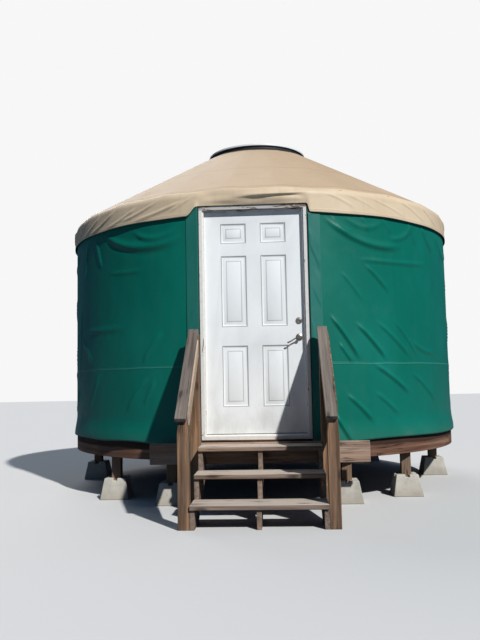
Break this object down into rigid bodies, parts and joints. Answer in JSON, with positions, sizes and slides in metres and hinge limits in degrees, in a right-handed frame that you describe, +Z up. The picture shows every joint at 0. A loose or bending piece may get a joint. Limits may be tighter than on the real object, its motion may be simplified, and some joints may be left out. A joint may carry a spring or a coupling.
{
  "type": "yurt",
  "caption": "Round fabric-covered yurt on a raised timber platform, with lattice walls, a domed skylight, a hinged six-panel door, and wooden steps with handrails.",
  "frame": {"origin": "centre of the round platform at ground level, on the underside of the middle pier block", "axes": "+Z up, -Y out through the door, +X to the right as seen from in front of the door"},
  "size_m": [4.2926, 5.2208, 3.9221],
  "materials": {
    "concrete": "precast concrete",
    "framing_wood": "rough sawn",
    "rim_wood": "stained",
    "floor_wood": "sanded",
    "weathered_wood": "weathered",
    "post_wood": "weathered",
    "rail_wood": "weathered",
    "lattice_wood": "planed",
    "rafter_wood": "planed",
    "cable_steel": "galvanised",
    "wall_fabric": "coated",
    "roof_fabric": "vinyl",
    "curb_black": "matt",
    "dome_clear": "clear",
    "rim_white": "satin",
    "frame_paint": "peeling paint",
    "door_paint": "satin",
    "hinge_steel": "satin",
    "lock_metal": "dull"
  },
  "bodies": {
    "yurt": {"pier_blocks": "concrete", "platform_posts": "framing_wood", "floor_beams": "framing_wood", "floor_joists": "framing_wood", "rim_boards": "rim_wood", "floor_deck": "floor_wood", "step_ledger": "weathered_wood", "stringers": "weathered_wood", "treads": "weathered_wood", "newels": "post_wood", "rear_posts": "post_wood", "rail_caps": "rail_wood", "lattice_front_left": "lattice_wood", "lattice_back_left": "lattice_wood", "lattice_back_right": "lattice_wood", "lattice_front_right": "lattice_wood", "eave_cable": "cable_steel", "wall_cover_front_left": "wall_fabric", "wall_cover_left": "wall_fabric", "wall_cover_back_left": "wall_fabric", "wall_cover_back_right": "wall_fabric", "wall_cover_right": "wall_fabric", "wall_cover_front_right": "wall_fabric", "door_flap_left": "wall_fabric", "door_flap_right": "wall_fabric", "door_head_flap": "roof_fabric", "rafters": "rafter_wood", "centre_ring": "rafter_wood", "roof_cover": "roof_fabric", "valance": "roof_fabric", "skylight_curb": "curb_black", "skylight_dome": "dome_clear", "skylight_rim": "rim_white", "door_jambs": "frame_paint", "door_head": "frame_paint", "door_header": "framing_wood", "door_threshold": "frame_paint", "door_hinges": "hinge_steel"},
    "door": {"door_slab": "door_paint", "door_hinge_leaves": "hinge_steel", "lock_roses": "lock_metal", "deadbolt": "lock_metal"},
    "lever": {"door_lever": "lock_metal"}
  },
  "joints": [
    {"name": "door_swing", "type": "hinge", "parent": "yurt", "child": "door", "pos_m": [-0.4595, -1.97384, 0.641], "axis": [0, 0, 1], "range_deg": [0, 125]},
    {"name": "lever_turn", "type": "hinge", "parent": "door", "child": "lever", "pos_m": [0.401, -1.98134, 1.497], "axis": [0, -1, 0], "range_deg": [0, 40], "stiffness_Nm_per_rad": 1, "springref_deg": -28.65}
  ]
}
